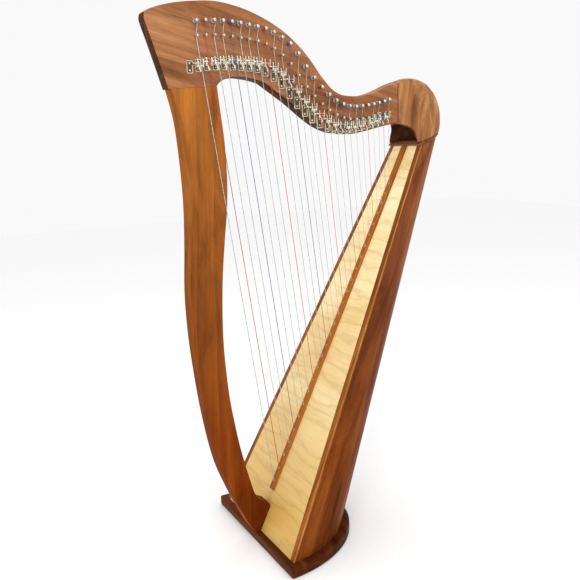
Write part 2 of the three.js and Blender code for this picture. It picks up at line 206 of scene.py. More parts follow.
def surfaced(tree, shader, colour, roughness, relief=None):
    """Wires a colour, a roughness and, as (height, strength, depth), a fine relief to a shader."""
    tree.links.new(colour, shader.inputs["Base Color"])
    tree.links.new(roughness, shader.inputs["Roughness"])
    if relief:
        height, strength, depth = relief
        bump = add(tree, "Bump", {"Strength": strength, "Distance": depth, "Height": height})
        tree.links.new(bump.outputs["Normal"], shader.inputs["Normal"])


def own_space(tree):
    return add(tree, "TexCoord").outputs["Object"]


def scaled_space(tree, *scale):
    """The piece's own space, scaled per metre."""
    return add(tree, "Mapping", {"Vector": own_space(tree), "Scale": scale}).outputs[0]


def grain_space(tree, turn, stretch, shift):
    """The piece's own space, turned so that X runs along the grain, then stretched per metre."""
    turned = add(tree, "Mapping", {"Vector": own_space(tree), "Rotation": turn, "Location": shift})
    return add(tree, "Mapping", {"Vector": turned.outputs[0], "Scale": stretch}).outputs[0]


def noise(tree, vector, detail, roughness, distortion=0.0):
    return add(tree, "TexNoise", {
        "Vector": vector, "Scale": 1.0, "Detail": detail, "Roughness": roughness,
        "Distortion": distortion}).outputs["Fac"]


def steps(tree, value, *stops):
    """A colour ramp through stops of (place, colour)."""
    ramp = add(tree, "ValToRGB", {"Fac": value})
    for _ in range(len(stops) - 2):
        ramp.color_ramp.elements.new(0.5)
    for element, (place, colour) in zip(ramp.color_ramp.elements, stops):
        element.position = place
        element.color = colour
    return ramp.outputs["Color"]


def grey(level):
    return (level, level, level, 1)


def blended(tree, first, second, share, way="MULTIPLY"):
    mix = add(tree, "Mix", data_type="RGBA", blend_type=way)
    for socket, value in ((mix.inputs[0], share), (mix.inputs[6], first), (mix.inputs[7], second)):
        if isinstance(value, bpy.types.NodeSocket):
            tree.links.new(value, socket)
        else:
            socket.default_value = value
    return mix.outputs[2]


def ranged(tree, value, low, high):
    return add(tree, "MapRange", {"Value": value, "To Min": low, "To Max": high}).outputs["Result"]


def rise_between(tree, start, end):
    """How far up from one height to another, in metres, a point of the piece lies: 0 to 1."""
    place = add(tree, "SeparateXYZ", {"Vector": own_space(tree)})
    return add(tree, "MapRange", {
        "Value": place.outputs["Z"], "From Min": start, "From Max": end}).outputs["Result"]


def painted_hollow_shade(tree, painted_shade_hollow):
    """Painted shade inside a hollow, given by its centre and radii: a darker tone that fades out at its
    rim.
    """
    centre, radii = (Vector(values) * MM for values in painted_shade_hollow)
    shrink = [1 / radius for radius in radii]
    inside = add(tree, "Mapping", {
        "Vector": own_space(tree), "Location": [-c * s for c, s in zip(centre, shrink)],
        "Scale": shrink})
    reach = add(tree, "VectorMath", {0: inside.outputs[0]}, operation="LENGTH")
    shade = add(tree, "MapRange", {"Value": reach.outputs["Value"], "From Min": 1.02, "From Max": 1.1})
    return steps(tree, shade.outputs["Result"], (0, tint(132, 124, 118)), (1, grey(1.0)))


def hardwood(name, dark, middle, light, turn, shift=(0, 0, 0), ring_share=0.35,
             streak=(1.3, 24, 24), painted_top_light=None, polish=0.05, painted_shade_hollow=None):
    """Oiled sapele: long streaks, wavy growth rings, fine fibres and short open pores."""
    material, tree, shader = new_finish(name)
    streaks = noise(tree, grain_space(tree, turn, streak, shift), 6, 0.6, 0.8)
    figure = steps(tree, streaks, (0.26, dark), (0.5, middle), (0.74, light))
    # Painted light: a lighter colour screened on more and more towards the top, as if the upper part took
    # more light.
    if painted_top_light:
        colour, start, end = painted_top_light
        figure = blended(tree, figure, colour, rise_between(tree, start, end), "SCREEN")
    # Painted shade: a darker tone inside a hollow.
    if painted_shade_hollow:
        figure = blended(tree, figure, painted_hollow_shade(tree, painted_shade_hollow), 1.0)
    ring_shift = (shift[0] + 0.07, shift[1] + 0.31, shift[2] + 0.23)
    rings = add(tree, "TexWave", {
        "Vector": grain_space(tree, turn, (0.55, 6, 6), ring_shift), "Scale": 1.9,
        "Distortion": 5.5, "Detail": 3.0, "Detail Scale": 1.4, "Detail Roughness": 0.6},
        wave_type="RINGS", rings_direction="X", wave_profile="SAW")
    ring_tone = steps(tree, rings.outputs["Fac"], (0.0, grey(1.0)), (0.72, grey(0.86)), (1.0, grey(0.5)))
    figure = blended(tree, figure, ring_tone, ring_share)
    flames = noise(tree, grain_space(tree, turn, (4.5, 16, 16), shift), 3, 0.55, 1.2)
    flame_tone = steps(tree, flames, (0.34, tint(206, 198, 190)), (0.5, grey(1.0)), (0.68, grey(1.16)))
    figure = blended(tree, figure, flame_tone, 0.75)
    fibres = noise(tree, grain_space(tree, turn, (9, 520, 520), shift), 3, 0.6)
    fibre_tone = steps(tree, fibres, (0.3, grey(0.72)), (0.62, grey(1.08)))
    figure = blended(tree, figure, fibre_tone, 0.55)
    pores = noise(tree, grain_space(tree, turn, (38, 1150, 1150), shift), 2, 0.5)
    pore_tone = steps(tree, pores, (0.6, grey(1.0)), (0.7, grey(0.42)))
    figure = blended(tree, figure, pore_tone, 0.6)
    relief = blended(tree, fibres, pore_tone, 0.6)
    surfaced(tree, shader, figure, ranged(tree, streaks, 0.44, 0.3), (relief, 0.16, 0.0004))
    shader.inputs["Specular IOR Level"].default_value = polish
    return material


ALONG_NECK = in_radians(0, -14.7, 0)
ALONG_PILLAR = in_radians(0, 88, 0)
ALONG_SHOULDER = in_radians(0, 80, 0)
ALONG_BOX = in_radians(0, BOARD_SLOPE, 0)
ACROSS_BOX = in_radians(0, 0, 90)

neck_wood = hardwood("neck_sapele", tint(100, 60, 38), tint(157, 103, 66), tint(190, 136, 94),
                     ALONG_NECK, ring_share=0.5)
# A much darker copy of the neck wood: painted shade for the neck's underside, also given to its front end.
neck_underside_shade = hardwood("neck_underside_painted_shade", tint(46, 24, 12), tint(76, 42, 22), tint(104, 62, 34),
                      ALONG_NECK, (0.2, 0.1, 0.4), polish=0.01)
# Painted light on the pillar: lighter towards its top.
pillar_wood = hardwood("pillar_sapele", tint(90, 30, 4), tint(122, 52, 6), tint(150, 74, 14),
                       ALONG_PILLAR, (0.4, 0.1, 0.2), ring_share=0.42,
                       painted_top_light=(tint(150, 98, 44), 0.25, 1.05))
# The pillar's front edge: nearly the pillar's colour with almost no gloss, and the same painted light
# towards its top.
front_wood = hardwood("front_edge_sapele", tint(92, 32, 4), tint(122, 54, 8), tint(150, 76, 16),
                      ALONG_PILLAR, (0.1, 0.5, 0.3), painted_top_light=(tint(138, 90, 42), 0.25, 1.05),
                      polish=0.005)
base_wood = hardwood("base_sapele", tint(46, 18, 6), tint(76, 35, 11), tint(116, 60, 24), ACROSS_BOX,
                     (0.2, 0.3, 0.1), polish=0.02)
# Painted shade in the carved niche at the shoulder's front.
shoulder_wood = hardwood("shoulder_sapele", tint(96, 56, 32), tint(158, 104, 62), tint(200, 148, 98),
                         ALONG_SHOULDER, (0.1, 0.6, 0.3), streak=(2.2, 40, 40),
                         painted_shade_hollow=(NICHE["centre"], NICHE["radii"]))
# Painted light on the box's back: lighter towards its top.
box_wood = hardwood("box_sapele", tint(80, 34, 8), tint(119, 57, 17), tint(150, 84, 34), ALONG_BOX,
                    (0.7, 0.2, 0.5), ring_share=0.4, painted_top_light=(tint(91, 62, 48), 0.2, 1.0),
                    polish=0.015)
collar_wood = hardwood("collar_sapele", tint(84, 42, 22), tint(130, 80, 48), tint(176, 118, 78),
                       ACROSS_BOX, (0.3, 0.7, 0.4))
trim_wood = hardwood("trim_sapele", tint(92, 46, 14), tint(138, 78, 28), tint(172, 108, 48),
                     ALONG_BOX, (0.15, 0.45, 0.35), streak=(2, 130, 130), ring_share=0.15)
# Painted highlight: a lighter wood for the rounded outer corner of each trim, where light catches.
trim_corner_highlight = hardwood("trim_corner_painted_highlight", tint(140, 80, 30), tint(178, 114, 52), tint(208, 146, 80),
                     ALONG_BOX, (0.25, 0.35, 0.6), streak=(3, 160, 160), ring_share=0.1)
rib_wood = hardwood("rib_sapele", tint(112, 52, 12), tint(164, 90, 28), tint(206, 138, 62),
                    ALONG_BOX, (0.5, 0.15, 0.25), streak=(1.6, 260, 90), ring_share=0.1)


def pale_veneer(name, dark, light, turn, shift):
    """Sanded pale wood: soft arches of grain, faint growth lines and fine flecks, hardly any gloss."""
    material, tree, shader = new_finish(name)
    arches = add(tree, "TexWave", {
        "Vector": grain_space(tree, turn, (1.5, 5, 5), shift), "Scale": 4.2, "Distortion": 12.0,
        "Detail": 3.5, "Detail Scale": 0.7, "Detail Roughness": 0.55},
        wave_type="BANDS", bands_direction="Y", wave_profile="SIN")
    warmth = noise(tree, grain_space(tree, turn, (2.5, 7, 7), shift), 3, 0.5, 0.4)
    tone = steps(tree, warmth, (0.3, dark), (0.62, light))
    lines = steps(tree, arches.outputs["Fac"], (0.0, tint(205, 184, 150)), (0.12, tint(238, 230, 214)),
                  (0.4, grey(1.0)))
    tone = blended(tree, tone, lines, 0.3)
    growth = noise(tree, grain_space(tree, turn, (5, 230, 230), shift), 2, 0.5, 0.2)
    tone = blended(tree, tone, steps(tree, growth, (0.36, grey(0.8)), (0.5, grey(1.0))), 0.35)
    # Painted shade: the wood darker and yellower towards the bottom, fading out by half a metre up.
    painted_low_shade = steps(tree, rise_between(tree, 0.04, 0.5), (0.0, tint(226, 204, 150)), (1.0, grey(1.0)))
    tone = blended(tree, tone, painted_low_shade, 1.0)
    flecks = noise(tree, grain_space(tree, turn, (30, 620, 620), shift), 3, 0.6)
    tone = blended(tree, tone, steps(tree, flecks, (0.34, grey(0.84)), (0.6, grey(1.04))), 0.4)
    surfaced(tree, shader, tone, ranged(tree, warmth, 0.56, 0.44), (flecks, 0.1, 0.0003))
    return material


board_wood = pale_veneer("sound_board_veneer", tint(236, 202, 134), tint(254, 234, 182), ACROSS_BOX,
                         (0.1, 0.2, 0.3))
inner_wood = pale_veneer("inside_block_wood", tint(176, 142, 96), tint(206, 176, 128), ALONG_BOX,
                         (0.6, 0.1, 0.2))


def bright_metal(name, colour, roughness, wear=0.12):
    """Plated metal: fine turning marks, a little tarnish in its colour and gloss."""
    material, tree, shader = new_finish(name, metallic=1.0)
    marks = noise(tree, scaled_space(tree, 900, 900, 90), 3, 0.6)
    dull = noise(tree, scaled_space(tree, 160, 160, 160), 3, 0.5)
    worn = tuple(channel * (1 - 3 * wear) for channel in colour[:3]) + (1,)
    gloss = ranged(tree, dull, roughness + wear, roughness - 0.04)
    surfaced(tree, shader, steps(tree, dull, (0.3, worn), (0.6, colour)), gloss, (marks, 0.08, 0.0001))
    return material


pin_steel = bright_metal("tuning_pin_nickel", tint(212, 209, 203), 0.2)
pin_brass = bright_metal("bridge_pin_plating", tint(206, 196, 174), 0.2)
lever_metal = bright_metal("lever_plating", tint(250, 246, 234), 0.16, 0.06)
bracket_metal = bright_metal("bracket_plating", tint(228, 220, 192), 0.22, 0.1)
# Painted shade: a dark plating for bracket faces that would lie in shade.
bracket_shade_plating = bright_metal("bracket_painted_shade", tint(108, 96, 68), 0.36, 0.16)
screw_steel = bright_metal("screw_steel", tint(236, 232, 220), 0.22)
bolt_steel = bright_metal("bolt_steel", tint(150, 150, 152), 0.36)
eyelet_brass = bright_metal("eyelet_brass", tint(196, 166, 116), 0.3)


def coated(name, dark, light, roughness, scale=240):
    """Nylon or enamel: an even colour with faint clouding and a smooth gloss."""
    material, tree, shader = new_finish(name)
    cloud = noise(tree, scaled_space(tree, scale, scale, scale), 3, 0.5)
    gloss = ranged(tree, cloud, roughness + 0.08, roughness - 0.05)
    surfaced(tree, shader, steps(tree, cloud, (0.35, dark), (0.65, light)), gloss)
    return material


clear_nylon = coated("clear_nylon", tint(150, 152, 156), tint(190, 192, 196), 0.3)
red_nylon = coated("red_nylon", tint(150, 52, 44), tint(190, 76, 62), 0.3)
blue_nylon = coated("blue_nylon", tint(52, 66, 108), tint(84, 102, 150), 0.3)
red_enamel = coated("red_lever_mark", tint(170, 40, 24), tint(206, 62, 38), 0.3, 600)
blue_enamel = coated("blue_lever_mark", tint(34, 44, 118), tint(56, 68, 150), 0.3, 600)
dark_line = coated("glue_line", tint(66, 16, 10), tint(96, 28, 18), 0.55, 300)
paper_floor = coated("studio_floor", tint(251, 251, 251), tint(253, 253, 253), 0.7, 60)


# ================================ making and placing ================================
def mesh_of(work, name):
    """Ends the work on a mesh and hands it over."""
    mesh = bpy.data.meshes.new(name)
    work.to_mesh(mesh)
    work.free()
    return mesh


def show(work, name, finishes, body=HARP, replaces=(), sharp=32, weighted=False):
    """Ends the work on a mesh: it becomes a named piece of the harp that rides on a body."""
    mesh = mesh_of(work, name)
    for finish in finishes if isinstance(finishes, (list, tuple)) else [finishes]:
        mesh.materials.append(finish)
    mesh.shade_smooth()
    mesh.set_sharp_from_angle(angle=math.radians(sharp))
    piece = linked(name, mesh)
    if weighted:
        even = piece.modifiers.new("even_faces", "WEIGHTED_NORMAL")
        even.keep_sharp = True
    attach(piece, body)
    if replaces:
        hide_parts(*replaces)


def tidy(work):
    """Merges what meets and turns the faces outwards."""
    bmesh.ops.remove_doubles(work, verts=work.verts, dist=2e-6)
    bmesh.ops.recalc_face_normals(work, faces=work.faces)
    return work


def joined(*works):
    """Several worked meshes put together as one."""
    whole = bmesh.new()
    for work in works:
        mesh = mesh_of(work, "part")
        whole.from_mesh(mesh)
        bpy.data.meshes.remove(mesh)
    return whole


def extruded(corners, along):
    """A solid grown in one direction from a flat face, given by its corners."""
    work = bmesh.new()
    side = work.faces.new([work.verts.new(corner) for corner in corners])
    grown = bmesh.ops.extrude_face_region(work, geom=[side])["geom"]
    far_side = [item for item in grown if isinstance(item, bmesh.types.BMVert)]
    bmesh.ops.translate(work, vec=along, verts=far_side)
    bmesh.ops.recalc_face_normals(work, faces=work.faces)
    return work


def capped_loft(work, rims):
    """Skins two sections and closes their ends."""
    bmesh.ops.bridge_loops(work, edges=rims)
    bmesh.ops.holes_fill(work, edges=work.edges[:])
    bmesh.ops.recalc_face_normals(work, faces=work.faces)


def span(edge, axis):
    """How far an edge reaches along x, y or z, in metres."""
    start, end = (getattr(vert.co, axis) for vert in edge.verts)
    return abs(start - end)


def through(points, count):
    """The smooth line that a bent batten takes through the drawn points."""
    line = []
    last = len(points) - 1
    for step in range(count + 1):
        where = last * step / count
        first = min(int(where), last - 1)
        t = where - first
        p0, p1 = points[max(first - 1, 0)], points[first]
        p2, p3 = points[first + 1], points[min(first + 2, last)]
        line.append(tuple(
            b + 0.5 * t * ((c - a) + t * ((2 * a - 5 * b + 4 * c - d) + t * (3 * (b - c) + d - a)))
            for a, b, c, d in zip(p0, p1, p2, p3)))
    return line


def saw(work, point, outward):
    """Cuts off what lies outside a plane and closes the cut."""
    everything = work.verts[:] + work.edges[:] + work.faces[:]
    cut = bmesh.ops.bisect_plane(work, geom=everything, dist=1e-7, plane_co=point, plane_no=outward,
                                 clear_outer=True)
    rim = [item for item in cut["geom_cut"] if isinstance(item, bmesh.types.BMEdge)]
    bmesh.ops.contextual_create(work, geom=rim)
    return work


def saw_at_base(work):
    saw(work, spot(0, 0, BASE["thickness"] + GAP), Vector((0, 0, -1)))


def baked(work, dress):
    """Runs modifiers over a mesh and hands the result back to be worked on."""
    blank = linked("blank", mesh_of(work, "blank"))
    helpers = dress(blank)
    result = bmesh.new()
    result.from_object(blank, bpy.context.evaluated_depsgraph_get())
    for item in [blank, *helpers]:
        bpy.data.objects.remove(item)
    return result


def cut_by(blank, tool, name):
    """Takes a tool's shape out of a blank, and hands over the tool's object."""
    cutter = linked(name, mesh_of(tool, name))
    cut = blank.modifiers.new(name, "BOOLEAN")
    cut.operation = "DIFFERENCE"
    cut.solver = "EXACT"
    cut.object = cutter
    return cutter


def block(low, high, turn=Matrix.Identity(4)):
    """A squared block between two corners."""
    work = bmesh.new()
    size = [b - a for a, b in zip(low, high)]
    middle = spot(*[(a + b) / 2 for a, b in zip(low, high)])
    scale = Matrix.Diagonal((*(side * MM for side in size), 1))
    bmesh.ops.create_cube(work, size=1, matrix=turn @ Matrix.Translation(middle) @ scale)
    return work


def ease(work, edges, width, segments=2, material=-1):
    bmesh.ops.bevel(work, geom=edges, offset=width * MM, offset_type="OFFSET", segments=segments,
                    profile=0.5, affect="EDGES", material=material, clamp_overlap=True)


def plank(outline, joint=None):
    """A board sawn to a side outline, its long edges rounded over but left square at a joint."""
    work = extruded([spot(x, -HALF_NECK, z) for x, z in outline], spot(0, 2 * HALF_NECK, 0))

    def rounded(edge):
        if span(edge, "y") > MM:
            return False
        return not joint or any(abs((v.co - joint[0]).dot(joint[1])) > 0.05 * MM for v in edge.verts)

    ease(work, [edge for edge in work.edges if rounded(edge)], EDGE_ROUND, 6)
    return work


# ================================ neck, pillar, base ================================
tilt = math.radians(PILLAR_JOINT["tilt"])
joint_normal = Vector((-math.sin(tilt), 0, math.cos(tilt)))
joint_point = spot(PILLAR_JOINT["x"], 0, PILLAR_JOINT["z"])


def height_over_joint(x, z):
    """Only the neck's front end meets the pillar, so all of the rest counts as well above it."""
    return (spot(x, 0, z) - joint_point).dot(joint_normal) / MM if x < 0 else 50


def above_joint(line):
    """The part of the neck's line that lies above the pillar joint, ended on the joint."""
    kept = []
    heights = [height_over_joint(x, z) for x, z in line]
    for index, (corner, height) in enumerate(zip(line, heights)):
        if index and (heights[index - 1] > 0) != (height > 0):
            before = line[index - 1]
            share = heights[index - 1] / (heights[index - 1] - height)
            kept.append(tuple(a + (b - a) * share for a, b in zip(before, corner)))
        if height > 0:
            kept.append(corner)
    return kept


def second_finish_on_edge(work, outward, least=0.35):
    """Gives a plank's narrow edge on one side its second finish: on the neck a much darker copy of its
    wood as painted shade, on the pillar's front a less glossy one.
    """
    work.normal_update()
    for face in work.faces:
        if face.normal.dot(outward) > least and abs(face.normal.y) < 0.8:
            face.material_index = 1


def make_neck():
    outline = above_joint(through(NECK_TOP, 190)) + above_joint(through(NECK_UNDER, 150))
    work = plank(outline, (joint_point, joint_normal))
    saw(work, spot(SHOULDER_JOINT, 0, 0), Vector((1, 0, 0)))
    # Painted shade: the underside and the front end take the much darker second finish.
    second_finish_on_edge(work, Vector((0, 0, -1)))
    second_finish_on_edge(work, Vector((-1, 0, 0)), 0.8)
    show(work, "harp_neck", [neck_wood, neck_underside_shade],
         replaces=["neck", "neck_shoulder_dowel_1", "neck_shoulder_dowel_2"],
         weighted=True)


def make_pillar():
    work = plank(through(PILLAR_FRONT, 130) + through(PILLAR_BACK, 180))
    saw(work, joint_point - joint_normal * GAP * MM, joint_normal)
    saw_at_base(work)
    saw(work, on_board(0, 0, -GAP), -BOARD_OUT)
    second_finish_on_edge(work, Vector((-1, 0, 0)))
    show(work, "fore_pillar", [pillar_wood, front_wood],
         replaces=["pillar", "neck_pillar_dowel_1", "neck_pillar_dowel_2"],
         weighted=True)


def make_base():
    """The half-oval foot, its rims rounded and its two front corners eased."""
    front, depth, half_width = BASE["front"], BASE["depth"], BASE["half_width"]
    angles = [math.pi * (step / 96 - 0.5) for step in range(97)]
    oval = [spot(front + depth * math.cos(a), half_width * math.sin(a), 0) for a in angles]
    work = extruded(oval, spot(0, 0, BASE["thickness"]))
    upright = [e for e in work.edges
               if span(e, "z") > MM and abs(e.verts[0].co.x - front * MM) < 0.1 * MM]
    ease(work, upright, 4, 4)
    rims = [e for e in work.edges
            if e.is_manifold and e.calc_face_angle(0) > 1 and span(e, "z") < 0.1 * MM]
    ease(work, rims, EDGE_ROUND, 5)
    show(work, "base_foot", base_wood, replaces=["base_plate"], weighted=True)


make_neck()
make_pillar()
make_base()


# ================================ sound box ================================
def half_oval(work, up, inset=0, proud=0):
    """One section of the round back, drawn at so far up the board, closed in front if it is proud."""
    count = 72
    wide, deep = half_width_at(up) - inset, box_depth_at(up) - inset
    angles = [math.pi * n / count for n in range(count + 1)]
    places = [on_board(up, wide * math.cos(a), deep * math.sin(a)) for a in angles]
    if proud:
        places += [on_board(up, -wide, -proud), on_board(up, wide, -proud)]
    corners = [work.verts.new(place) for place in places]
    rim = list(zip(corners, corners[1:]))
    if proud:
        rim.append((corners[-1], corners[0]))
    return [work.edges.new(pair) for pair in rim]


def make_shell():
    """The bent back of the box: one thin sheet, too long, trimmed to the base, collar and board."""
    work = bmesh.new()
    sections = [half_oval(work, up) for up in (-110, 1010)]
    bmesh.ops.bridge_loops(work, edges=sections[0] + sections[1])
    bmesh.ops.recalc_face_normals(work, faces=work.faces)
    outside = work.faces[0]
    inside_point = on_board(450, 0, 60)
    if outside.normal.dot(outside.calc_center_median() - inside_point) < 0:
        bmesh.ops.reverse_faces(work, faces=work.faces)
    bmesh.ops.solidify(work, geom=work.faces[:], thickness=SHELL_WALL * MM)
    bmesh.ops.recalc_face_normals(work, faces=work.faces)
    saw(work, on_board(0, 0, BOARD_THICKNESS + GAP), BOARD_OUT)
    saw_at_base(work)
    saw(work, collar_level(0), COLLAR_UP)

    def cut_holes(blank):
        cutters = []
        for up, long, wide in SOUND_HOLES:
            punch = bmesh.new()
            place = BOARD @ Matrix.Translation(spot(up, 0, -box_depth_at(up)))
            bmesh.ops.create_cone(punch, cap_ends=True, segments=56, radius1=MM, radius2=MM, depth=90 * MM,
                                  matrix=place @ Matrix.Diagonal((long, wide, 1, 1)))
            cutters.append(cut_by(blank, punch, "sound_hole"))
        return cutters

    work = baked(work, cut_holes)
    show(work, "sound_box_back", box_wood, replaces=["soundbox_shell"], sharp=30)


def make_trim(side, name):
    """A strip along one edge of the board, its outer corner rounded and given a lighter finish as a
    painted highlight.
    """
    work = bmesh.new()
    loops = []
    for up in (-60, 1000):
        outer = half_width_at(up)
        section = [(outer - TRIM_WIDTH, 0), (outer, 0), (outer, BOARD_THICKNESS),
                   (outer - TRIM_WIDTH, BOARD_THICKNESS)]
        corners = [work.verts.new(on_board(up, side * across, depth)) for across, depth in section]
        loops += [work.edges.new(pair) for pair in zip(corners, corners[1:] + corners[:1])]
    capped_loft(work, loops)
    to_board = BOARD.inverted()

    def on_crest(vert):
        place = to_board @ vert.co / MM
        return abs(place.z) < 0.1 and abs(place.y) > half_width_at(place.x) - 1

    crest = [e for e in work.edges if e.calc_length() > 0.5 and all(on_crest(v) for v in e.verts)]
    # Painted highlight: the rounded corner takes the lighter second finish.
    ease(work, crest, 1.9, 4, material=1)
    saw_at_base(work)
    saw(work, collar_level(0), COLLAR_UP)
    show(work, name, [trim_wood, trim_corner_highlight], replaces=[name.replace("board_edge", "edge_trim")],
         weighted=True)


def make_rib():
    """The string rib, its corners eased and its foot rounded down to the board."""
    half = RIB["width"] / 2
    work = block((RIB["start"], -half, GAP), (1000, half, RIB["height"]), BOARD)
    saw(work, collar_level(-GAP), COLLAR_UP)
    to_board = BOARD.inverted()

    def eased(edge):
        ends = [to_board @ vert.co / MM for vert in edge.verts]
        on_top = all(end.z > RIB["height"] - 0.1 for end in ends)
        at_foot = all(end.x < RIB["start"] + 1 for end in ends)
        return on_top or (at_foot and span(edge, "y") < MM)

    ease(work, [edge for edge in work.edges if eased(edge)], 1.3, 3)
    show(work, "string_rib_moulding", rib_wood, replaces=["string_rib"], weighted=True)


def make_collar():
    """The bead between the box and the shoulder block, sawn from a longer moulding."""
    work = bmesh.new()
    sections = [half_oval(work, up, -3, 3) for up in (700, 1010)]
    capped_loft(work, sections[0] + sections[1])
    saw(work, collar_level(GAP), -COLLAR_UP)
    saw(work, collar_level(COLLAR["thickness"] + GAP), COLLAR_UP)
    rims = [e for e in work.edges if len({round((v.co - collar_level(0)).dot(COLLAR_UP), 5)
                                          for v in e.verts}) == 1]
    ease(work, rims, 3.4, 5)
    show(work, "collar_bead", collar_wood, replaces=["collar_moulding"], weighted=True)


make_shell()
make_trim(-1, "board_edge_right")
make_trim(1, "board_edge_left")
make_rib()
make_collar()


# ================================ shoulder block ================================
def shoulder_level(work, height, front, widest, back, front_width, full_width):
    """One section of the shoulder: it flares from its flat front and is round behind."""
    flare = [(front + (widest - front) * n / 8,
              front_width + (full_width - front_width) * math.sin(n / 8 * math.pi / 2)) for n in range(9)]
    round_back = [(widest + (back - widest) * math.sin(n / 14 * math.pi / 2),
                   full_width * math.cos(n / 14 * math.pi / 2)) for n in range(1, 15)]
    side = flare + round_back
    outline = side + [(x, -y) for x, y in reversed(side[:-1])]
    corners = [work.verts.new(spot(x, y, height)) for x, y in outline]
    return [work.edges.new(pair) for pair in zip(corners, corners[1:] + corners[:1])]


def make_shoulder():
    """The carved block that turns the neck into the box: lofted, hollowed in front and sanded."""
    work = bmesh.new()
    levels = [shoulder_level(work, *level) for level in through(SHOULDER_LEVELS, 36)]
    for lower, upper in zip(levels, levels[1:]):
        bmesh.ops.bridge_loops(work, edges=lower + upper)
    bmesh.ops.holes_fill(work, edges=work.edges[:])
    tidy(work)

    def carve(blank):
        ball = bmesh.new()
        bmesh.ops.create_uvsphere(ball, u_segments=72, v_segments=40, radius=MM,
                                  matrix=Matrix.Translation(spot(*NICHE["centre"]))
                                  @ Matrix.Diagonal((*NICHE["radii"], 1)))
        gouge = cut_by(blank, ball, "gouge")
        remesh = blank.modifiers.new("sanding_block", "REMESH")
        remesh.mode = "VOXEL"
        remesh.voxel_size = 1.2 * MM
        sand = blank.modifiers.new("sanding", "SMOOTH")
        sand.factor = 0.5
        sand.iterations = 16
        return [gouge]

    work = baked(work, carve)
    saw(work, spot(SHOULDER_JOINT + GAP, 0, 0), Vector((-1, 0, 0)))
    saw(work, collar_level(COLLAR["thickness"] + 2 * GAP), -COLLAR_UP)
    show(work, "carved_shoulder", shoulder_wood, replaces=["shoulder_block"], sharp=50)


def make_glue_line():
    """The dark line of glue where the neck meets the shoulder block."""
    half, start = HALF_NECK + GLUE_LINE["proud"], SHOULDER_JOINT - GLUE_LINE["width"] / 2
    bottom, top = GLUE_LINE["bottom"], GLUE_LINE["top"]
    corners = [(-half, bottom), (half, bottom), (half, top), (-half, top)]
    work = extruded([spot(start, y, z) for y, z in corners], spot(GLUE_LINE["width"], 0, 0))
    along = [e for e in work.edges if span(e, "x") > 0.5 * MM]
    ease(work, along, EDGE_ROUND, 5)
    show(work, "neck_glue_line", dark_line)


make_shoulder()
make_glue_line()


# ================================ strings and pins ================================
def strings_from_levers():
    """Where each string runs: every lever sits at its string's semitone point."""
    lean = math.radians(STRING_LEAN)
    along = Vector((math.sin(lean), 0, -math.cos(lean)))
    levers = sorted(((joint["child"], Vector(joint["pos_m"]) / MM) for joint in frame["joints"]),
                    key=lambda pair: pair[0])
    foot = Vector((BOARD_FOOT_X, 0, BASE["thickness"]))
    thick, thin = STRING_RADIUS["bass"], STRING_RADIUS["treble"]
    strings = []
    for index, (name, pivot) in enumerate(levers):
        def run_to(depth):
            return (-depth - (pivot - foot).dot(BOARD_OUT)) / along.dot(BOARD_OUT)

        radius = thick + (thin - thick) * index / (STRING_COUNT - 1)
        run = run_to(-RIB["height"]) / (1 - SEMITONE)
        start = pivot - along * run * SEMITONE
        end = run_to(BOARD_THICKNESS + KNOT_STRIP["back"] / 2)
        strings.append({
            "name": name.replace("lever", "string"), "lever": name, "note": name[-1], "radius": radius,
            "pivot": pivot, "height": start.z, "contact": start.x, "run": run, "along": along,
            "anchor": (end + run * SEMITONE) / run,
            "pin_x": start.x + PIN_RADIUS + radius * STRING_NOTCH})
    for index, string in enumerate(strings):
        before, after = strings[max(index - 1, 0)], strings[min(index + 1, STRING_COUNT - 1)]
        slope = (after["height"] - before["height"]) / (after["pin_x"] - before["pin_x"])
        string["tuning_z"] = string["height"] + TUNING_PIN_RISE * math.hypot(1, slope)
    return strings


strings = strings_from_levers()


def on_string(string, part):
    """A point of a string, by its share of the sounding length from the bridge pin."""
    down = string["along"] * string["run"] * part
    return Vector((string["contact"] + down.x, -PIN_REACH * (1 - part), string["height"] + down.z))


def make_string(string, finish):
    """Wound three times round its tuning pin, over the bridge pin, and down through the rib."""
    radius = string["radius"]
    wrap = TUNING_PIN_RADIUS + radius
    centre = Vector((string["pin_x"], 0, string["tuning_z"]))
    loose_end = [Vector((-2.6, -18.4, 6.5)), Vector((-1.2, -19.2, wrap + 0.5))]
    path = [centre + place for place in loose_end]
    turns, marks, first_turn, winding = 3, 12, 19.5, 6.5
    for step in range(turns * marks + 1):
        angle = 2 * math.pi * (turns - step / marks) + math.pi / 2 * (1 - step / (turns * marks))
        out = -first_turn - winding * step / (turns * marks)
        path.append(centre + Vector((wrap * math.cos(angle), out, wrap * math.sin(angle))))
    path += [on_string(string, 0), on_string(string, 1), on_string(string, string["anchor"])]
    data = bpy.data.curves.new(string["name"], "CURVE")
    data.dimensions = "3D"
    data.bevel_depth = radius * MM
    data.bevel_resolution = 1
    data.use_fill_caps = True
    spline = data.splines.new("POLY")
    spline.points.add(len(path) - 1)
    for point, place in zip(spline.points, path):
        point.co = (*(place * MM), 1)
    wire = linked("wire", data)
    work = bmesh.new()
    mesh = bpy.data.meshes.new_from_object(wire.evaluated_get(bpy.context.evaluated_depsgraph_get()))
    work.from_mesh(mesh)
    bpy.data.objects.remove(wire)
    show(tidy(work), string["name"], finish, sharp=60)


def lathe(profile, segments):
    """A turned pin, its profile given as (radius, y) from one end to the other."""
    work = bmesh.new()
    corners = [work.verts.new(spot(radius, y, 0)) for radius, y in profile]
    line = [work.edges.new(pair) for pair in zip(corners, corners[1:])]
    bmesh.ops.spin(work, geom=corners + line, cent=(0, 0, 0), axis=(0, 1, 0), dvec=(0, 0, 0),
                   angle=2 * math.pi, steps=segments, use_merge=True)
    return tidy(work)


